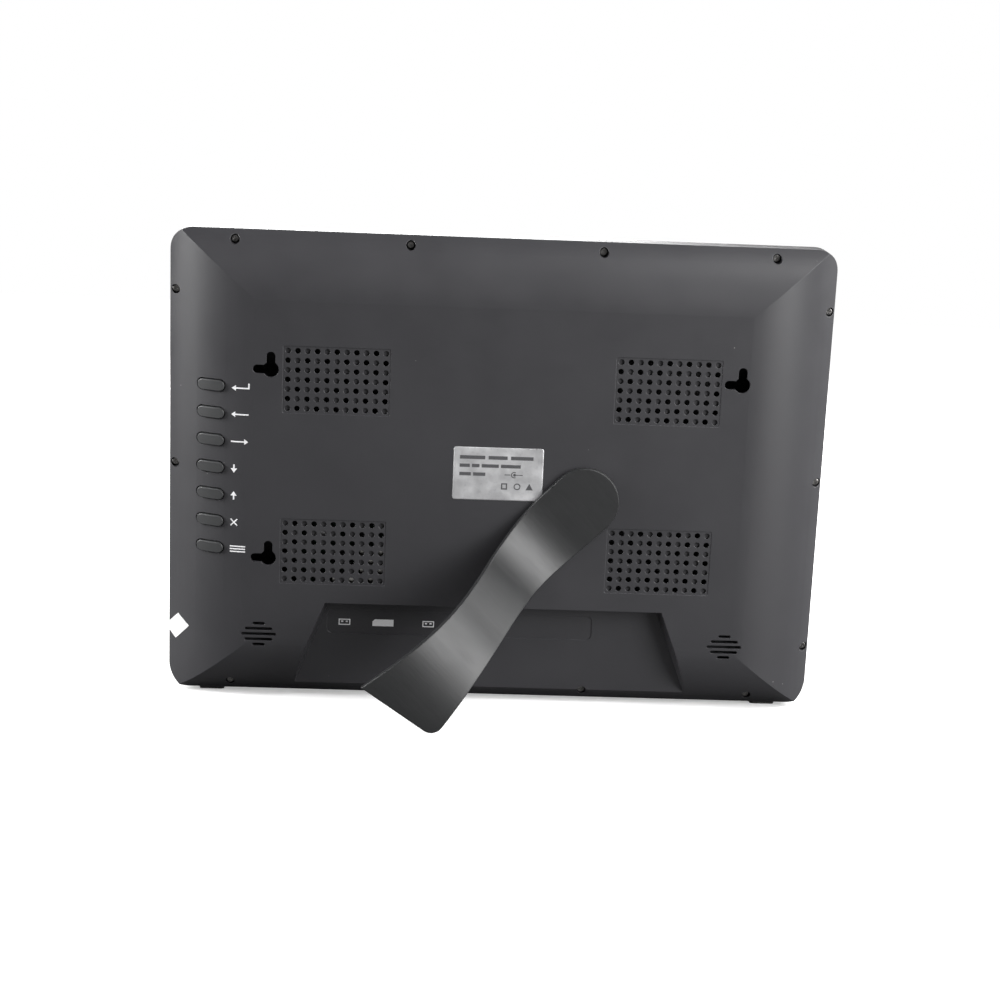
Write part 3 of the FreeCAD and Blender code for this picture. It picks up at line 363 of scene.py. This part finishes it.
FINISHES = {
    "cover_plastic": moulded("cover_moulding", (0.0335, 0.033, 0.0365), 0.46, dusty=0.35),
    "bezel_plastic": moulded("bezel_moulding", grey(0.024, 0.02), 0.36, relief=0.006 * MM, dusty=0.3),
    "leg_plastic": leg_plastic("leg_moulding"),
    "button_plastic": moulded("key_moulding", grey(0.036, 0.03), 0.42, relief=0.006 * MM),
    "switch_plunger": moulded("plunger_moulding", (0.03, 0.03, 0.03), 0.4),
    "switch_body": moulded("switch_moulding", (0.05, 0.05, 0.052), 0.5),
    "black_steel": steel("screw_steel", (0.42, 0.41, 0.4), 0.3, False, 0.8),
    "plated_steel": steel("plated_sheet", (0.62, 0.62, 0.6), 0.32),
    # Painted shade: the display's back plate is made near black so that the open vents look dark inside.
    "display_steel": moulded("display_back_painted_shade", (0.012, 0.012, 0.0125), 0.5, relief=0.004 * MM),
    "socket_steel": steel("socket_sheet", (0.66, 0.65, 0.62), 0.26),
    "speaker_steel": steel("basket_sheet", (0.4, 0.4, 0.39), 0.4),
    "magnet_ferrite": moulded("ferrite", (0.02, 0.02, 0.021), 0.6, grain=0.2 * MM),
    "display_glass": glass("display_face"),
    "clear_acrylic": clear_sheet("light_guide_acrylic", (0.9, 0.92, 0.93), 0.08),
    "white_film": clear_sheet("diffuser_film", (0.88, 0.88, 0.87), 0.4),
    "lamp_board": circuit("lamp_board_mask"),
    "flat_cable": fibrous("flat_cable_film", (0.55, 0.3, 0.1), 0.5, 2 * MM),
    "circuit_board": circuit("board_mask"),
    "chip_resin": moulded("chip_resin_black", (0.022, 0.022, 0.023), 0.55, grain=0.15 * MM),
    "capacitor_can": steel("capacitor_sleeve", (0.55, 0.55, 0.56), 0.35, False),
    "jack_plastic": moulded("jack_moulding", (0.016, 0.016, 0.017), 0.45),
    "foam_rubber": rubber("foam_ring", (0.02, 0.02, 0.02)),
    "cone_paper": fibrous("cone_pulp", (0.03, 0.03, 0.032)),
    "lead_plastic": moulded("lead_sleeve", (0.02, 0.02, 0.021), 0.45),
    "label_foil": foil("label_foil_silver"),
    "seal_paper": fibrous("seal_paper_white", (0.86, 0.86, 0.85)),
    "foot_rubber": rubber("foot_rubber_black", (0.018, 0.018, 0.018)),
}


def dress_nodes():
    """Give every CAD node the finish of its own material slot."""
    for part in frame["record"]["subparts"]:
        node = NODES[part["node"]]
        node.data.materials.clear()
        node.data.materials.append(FINISHES[part["material_slot"]])


# ---- meshes ----
def piece(name, mesh, body, material, smooth=True):
    """A new piece that rides on a CAD body and wears the material it is given."""
    mesh.materials.append(material)
    mesh.polygons.foreach_set("use_smooth", [smooth] * len(mesh.polygons))
    made = bpy.data.objects.new(name, mesh)
    bpy.context.scene.collection.objects.link(made)
    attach(made, body)
    return made


def cut_to_cells(bm, cell):
    """Split flat faces along a square grid, so that they can follow a curved surface."""
    bm.normal_update()
    bmesh.ops.triangulate(bm, faces=bm.faces[:])
    for axis in (0, 1):
        low = min(v.co[axis] for v in bm.verts)
        high = max(v.co[axis] for v in bm.verts)
        normal = Vector((axis == 0, axis == 1, 0))
        for step in range(1, math.ceil((high - low) / cell)):
            at = normal * (low + step * cell)
            geometry = bm.verts[:] + bm.edges[:] + bm.faces[:]
            bmesh.ops.bisect_plane(bm, geom=geometry, plane_co=at, plane_no=normal)
    bmesh.ops.triangulate(bm, faces=bm.faces[:])


def thicken(bm, depth):
    """Turn an open sheet into a thin closed one, growing straight out of the back."""
    grown = bmesh.ops.extrude_face_region(bm, geom=bm.faces[:])
    for v in grown["geom"]:
        if isinstance(v, bmesh.types.BMVert):
            v.co += BACK * depth
    bmesh.ops.recalc_face_normals(bm, faces=bm.faces[:])


def printed(name, outlines, x, up, surface, body, material):
    """Ink laid on a surface. Outlines are (right, up) points in metres round the spot at x, up, as seen
    by someone who looks at the back, so that right is towards -X."""
    bm = bmesh.new()
    for outline in outlines:
        bm.faces.new([bm.verts.new((a, b, 0)) for a, b in outline])
    cut_to_cells(bm, INK_CELL)
    for v in bm.verts:
        v.co = drop(x - v.co.x, up + v.co.y, surface) + BACK * INK_LIFT
    thicken(bm, INK_THICKNESS)
    mesh = bpy.data.meshes.new(name)
    bm.to_mesh(mesh)
    bm.free()
    return piece(name, mesh, body, material, smooth=False)


# ---- pictograms, drawn in millimetres about their middles ----
def scaled(outlines, size=MM):
    return [[(a * size, b * size) for a, b in outline] for outline in outlines]


def moved(outline, a, b):
    return [(p + a, q + b) for p, q in outline]


def turned(outline, degrees):
    c, s = math.cos(math.radians(degrees)), math.sin(math.radians(degrees))
    return [(a * c - b * s, a * s + b * c) for a, b in outline]


def bar(width, height):
    a, b = width / 2, height / 2
    return [(-a, -b), (a, -b), (a, b), (-a, b)]


def arrow(length, head=3.2, shaft=0.75):
    """Points right."""
    tip, neck = length / 2, length / 2 - head * 0.7
    half = shaft / 2
    return [(-tip, -half), (neck, -half), (neck, -head / 2), (tip, 0), (neck, head / 2), (neck, half),
            (-tip, half)]


def return_arrow():
    """Down, then left to a head."""
    return [(-5.0, -0.6), (-2.5, -2.2), (-2.5, -1.0), (5.0, -1.0), (5.0, 2.2), (4.2, 2.2), (4.2, -0.2),
            (-2.5, -0.2), (-2.5, 1.0)]


def cross(size=4.4, stroke=0.7):
    a, b = size / 2 * 1.2, stroke / 2
    outline = [(-b, -a), (b, -a), (b, -b), (a, -b), (a, b), (b, b), (b, a), (-b, a), (-b, b), (-a, b),
               (-a, -b), (-b, -b)]
    return turned(outline, 45)


def arc_band(radius, stroke, start, stop, steps=24):
    """Part of a ring, between two angles in degrees."""
    angles = [math.radians(start + (stop - start) * i / steps) for i in range(steps + 1)]
    outer = [(math.cos(t) * radius, math.sin(t) * radius) for t in angles]
    inner = [(math.cos(t) * (radius - stroke), math.sin(t) * (radius - stroke)) for t in reversed(angles)]
    return outer + inner


def disc(radius, steps=20):
    return [(math.cos(2 * math.pi * i / steps) * radius, math.sin(2 * math.pi * i / steps) * radius)
            for i in range(steps)]


def frame_of(width, height, stroke):
    """A rectangle drawn as four strokes."""
    upright = bar(stroke, height - 2 * stroke)
    level = bar(width, stroke)
    side = (width - stroke) / 2
    return [moved(level, 0, (height - stroke) / 2), moved(level, 0, -(height - stroke) / 2),
            moved(upright, side, 0), moved(upright, -side, 0)]


KEY_SIGNS = {
    "enter": [return_arrow()],
    "left": [turned(arrow(9.6), 180)],
    "right": [arrow(9.6)],
    "down": [turned(arrow(4.8, 3.6, 0.8), -90)],
    "up": [turned(arrow(4.8, 3.6, 0.8), 90)],
    "exit": [cross()],
    "menu": [moved(bar(8.6, 0.7), 0, step) for step in (1.5, 0.0, -1.5)],
}
PLUG_SIGN = frame_of(6.6, 3.6, 0.55) + [moved(bar(1.2, 0.9), side, 0.3) for side in (-1.3, 1.3)]
CARD_SIGN = [[(-6.0, -2.0), (6.0, -2.0), (6.0, 2.0), (-4.6, 2.0), (-6.0, 0.7)]]
HEADPHONE_SIGN = [arc_band(2.2, 0.5, 0, 180)] + [moved(bar(1.0, 1.7), side, -0.9) for side in (-1.9, 1.9)]
SUPPLY_SIGN = [arc_band(2.0, 0.45, 60, 390), disc(0.8)]


def print_case():
    """Legends beside the keys and under the ports."""
    white = ink("legend_ink_white", (0.83, 0.83, 0.84), 0.25)
    for name, outlines in KEY_SIGNS.items():
        node = "button_" + name
        width = max(a for outline in outlines for a, _ in outline)
        x = span(node, ACROSS)[0] - LEGEND_GAP - width * MM
        printed("legend_" + name, scaled(outlines), x, middle(node, UP), REAR, "housing", white)
    ports = (("usb_port_1", PLUG_SIGN), ("sd_card_port", CARD_SIGN), ("usb_port_2", PLUG_SIGN),
             ("earphone_bore", HEADPHONE_SIGN), ("dc_inlet", SUPPLY_SIGN))
    for mount, outlines in ports:
        at = Vector(MOUNTS[mount]["pos_m"])
        up = at.dot(UP) - PORT_LEGEND_DROP
        printed("legend_" + mount, scaled(outlines), at.x, up, REAR, "housing", white)


# ---- label ----
def crumple(a, b):
    """Height of the label's creases over its flat, in metres."""
    at = Vector((a, b, 0.0)) / (7.5 * MM)
    distances = noise.voronoi(at)[0]
    facet = min(distances[1] - distances[0], 0.5)
    waves = noise.noise(at * 0.9 + Vector((3.1, 7.7, 0.4)))
    fine = noise.noise(at * 3.3)
    return (0.06 + 0.16 * facet + 0.09 * waves + 0.02 * fine) * MM


def rounded_corner(a, b, half_a, half_b, radius):
    """Pull a point of a rectangle's grid onto its rounded corner."""
    corner = Vector((math.copysign(half_a - radius, a), math.copysign(half_b - radius, b)))
    past = Vector((a, b)) - corner
    if past.x * a > 0 and past.y * b > 0 and past.length > radius:
        return corner + past.normalized() * radius
    return Vector((a, b))


def label_mesh(x, up, half_a, half_b, level):
    cells_a = round(2 * half_a / LABEL_CELL)
    cells_b = round(2 * half_b / LABEL_CELL)
    bm = bmesh.new()
    rows = []
    for j in range(cells_b + 1):
        row = []
        for i in range(cells_a + 1):
            at = rounded_corner((2 * i / cells_a - 1) * half_a, (2 * j / cells_b - 1) * half_b,
                                half_a, half_b, LABEL_CORNER)
            rim = min(half_a - abs(at.x), half_b - abs(at.y)) / (1.5 * MM)
            lift = crumple(at.x, at.y) * min(1.0, 0.35 + rim)
            row.append(bm.verts.new(spot(x + at.x, up + at.y, level + max(lift, 0.02 * MM))))
        rows.append(row)
    for low, high in zip(rows, rows[1:]):
        for i in range(cells_a):
            bm.faces.new((low[i], low[i + 1], high[i + 1], high[i]))
    thicken(bm, LABEL_THICKNESS)
    mesh = bpy.data.meshes.new("label_sheet")
    bm.to_mesh(mesh)
    bm.free()
    return mesh


def word_bars(widths, height, gap):
    """A line of plain bars that stand for words, starting at 0."""
    made, at = [], 0.0
    for width in widths:
        made.append(moved(bar(width, height), at + width / 2, 0))
        at += width + gap
    return made


def label_artwork():
    """Rows of plain bars and a few plain shapes, in millimetres from the label's middle."""
    lines = [([moved(o, -21.5, 9.2) for o in word_bars((14.0, 10.5, 12.5), 2.0, 1.9)]),
             ([moved(o, -21.5, 4.5) for o in word_bars((5.6, 4.2, 9.5, 11.0), 1.9, 1.2)]),
             ([moved(o, -21.5, -0.3) for o in word_bars((6.4, 6.8), 1.9, 1.2)])]
    supply = [moved(arc_band(1.8, 0.5, 60, 300), 9.0, -0.3), moved(disc(0.8), 9.2, -0.3),
              moved(bar(3.6, 0.45), 11.9, -0.3), moved(bar(3.2, 0.45), 5.2, -0.3)]
    marks = [moved(o, 3.6, -6.9) for o in frame_of(3.4, 3.6, 0.7)]
    marks.append(moved(arc_band(1.9, 0.6, 0, 352), 10.8, -6.9))
    marks.append(moved([(-2, -1.8), (2, -1.8), (0, 1.9)], 17.6, -6.9))
    return [o for line in lines for o in line] + supply + marks


def make_label():
    x, up = middle("rating_label", ACROSS), middle("rating_label", UP)
    low, high = span("rating_label", ACROSS)
    floor, top = span("rating_label", UP)
    sheet = label_mesh(x, up, (high - low) / 2, (top - floor) / 2, COVER_LEVEL + 0.02 * MM)
    label = piece("label_sheet", sheet, "housing", FINISHES["label_foil"])
    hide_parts("rating_label")
    dark = ink("label_ink_grey", (0.075, 0.075, 0.08), 0.8)
    printed("label_print", scaled(label_artwork()), x, up, surface_of(sheet), "housing", dark)


# ---- stage ----
def floor_paper():
    """Pale paper that throws little light back up and fades to white away from the object."""
    f = Finish("floor_paper", IOR=1.4, Roughness=0.9)
    seen = f.node("ShaderNodeLightPath").outputs["Is Camera Ray"]
    pale = f.mixed(f.noise(0.2, 4.0), (0.80, 0.80, 0.80), (0.84, 0.84, 0.84))
    f.set("Base Color", f.mixed(seen, (FLOOR_BOUNCE,) * 3, pale))
    away = f.node("ShaderNodeVectorMath", {0: f.place}, operation="LENGTH").outputs["Value"]
    f.shader.inputs["Emission Color"].default_value = (1, 1, 1, 1)
    f.set("Emission Strength", f.math("MULTIPLY", seen, f.ranged(away, *FLOOR_FADE, *FLOOR_GLOW)))
    return f.material


def make_floor():
    bm = bmesh.new()
    bmesh.ops.create_grid(bm, x_segments=8, y_segments=8, size=FLOOR_HALF)
    mesh = bpy.data.meshes.new("floor")
    bm.to_mesh(mesh)
    bm.free()
    mesh.materials.append(floor_paper())
    floor = bpy.data.objects.new("floor", mesh)
    bpy.context.scene.collection.objects.link(floor)


def softbox(name, at, size, power):
    """An area light that is turned towards the object's middle."""
    data = bpy.data.lights.new(name, "AREA")
    data.shape = "RECTANGLE"
    data.size, data.size_y = size
    data.energy = power
    light = bpy.data.objects.new(name, data)
    light.location = at
    light.rotation_mode = "QUATERNION"
    light.rotation_quaternion = (CENTRE - Vector(at)).to_track_quat("-Z", "Y")
    bpy.context.scene.collection.objects.link(light)


def make_lights():
    softbox("right_key", (-1.1, 0.95, 0.45), (0.9, 1.0), 28)
    softbox("right_rim", (-1.4, -0.5, 0.9), (0.7, 0.9), 34)
    softbox("left_key", (1.3, 0.15, 0.6), (0.6, 0.8), 30)
    softbox("top_right", (-0.55, 0.35, 0.95), (0.5, 0.5), 6)
    softbox("front_fill", (0.5, -2.4, 1.5), (1.8, 1.4), 90)
    make_world(WORLD_LEVEL)


def make_world(level):
    """White to the camera, and a dim even light on the object."""
    world = bpy.data.worlds.new("studio")
    world.use_nodes = True
    nodes, links = world.node_tree.nodes, world.node_tree.links
    seen = nodes.new("ShaderNodeLightPath").outputs["Is Camera Ray"]
    strength = nodes.new("ShaderNodeMapRange")
    strength.inputs["To Min"].default_value = level
    strength.inputs["To Max"].default_value = 1.0
    links.new(seen, strength.inputs["Value"])
    nodes["Background"].inputs["Color"].default_value = (1, 1, 1, 1)
    links.new(strength.outputs[0], nodes["Background"].inputs["Strength"])
    bpy.context.scene.world = world


def make_camera():
    data = bpy.data.cameras.new("camera")
    data.lens = CAMERA_LENS
    data.sensor_width = 36.0
    camera = bpy.data.objects.new("camera", data)
    camera.location = CAMERA_AT
    camera.rotation_euler = Euler([math.radians(a) for a in CAMERA_TURN])
    bpy.context.scene.collection.objects.link(camera)
    bpy.context.scene.camera = camera


dress_nodes()
print_case()
make_label()
make_floor()
make_lights()
make_camera()
bpy.context.scene.view_settings.view_transform = "Standard"
